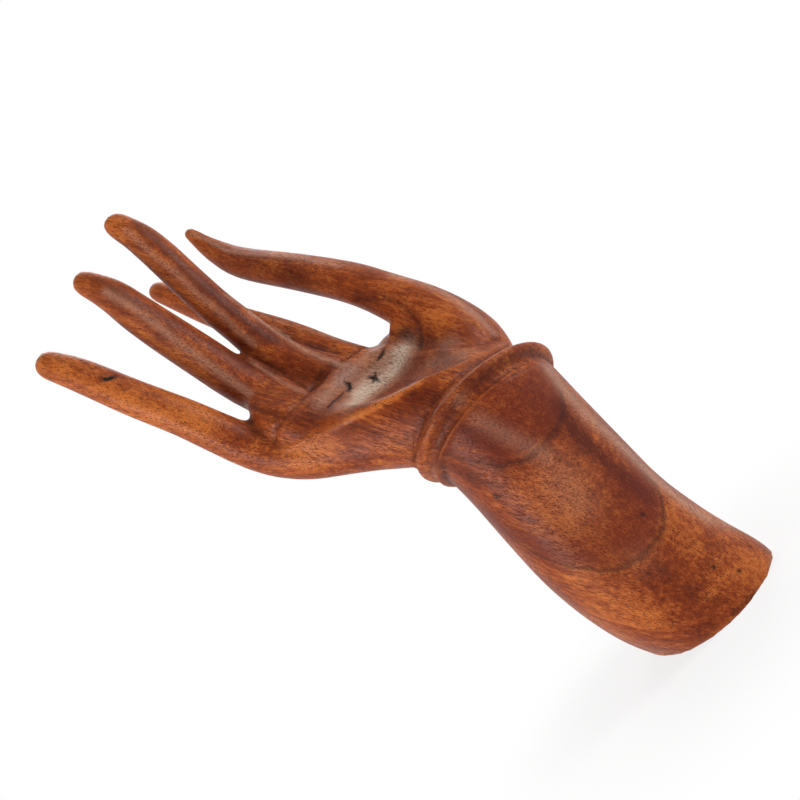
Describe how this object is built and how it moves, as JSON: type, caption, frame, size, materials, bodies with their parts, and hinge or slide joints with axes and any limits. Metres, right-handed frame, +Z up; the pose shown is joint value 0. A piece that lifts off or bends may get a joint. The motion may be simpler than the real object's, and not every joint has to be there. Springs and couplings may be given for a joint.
{
  "type": "hand jewelry stand",
  "caption": "Carved wooden hand that stands on its sleeve, with spread tapering fingers for rings and a banded wrist.",
  "frame": {"origin": "centre of the flat foot of the sleeve, on the surface that it stands on", "axes": "+Z up along the sleeve, +X towards the thumb, -Y towards the palm, metres"},
  "size_m": [0.0986, 0.1267, 0.2488],
  "materials": {
    "stained_wood": "red-brown stain under a satin wax polish"
  },
  "bodies": {
    "root": {"carved_hand": "stained_wood"}
  },
  "joints": []
}
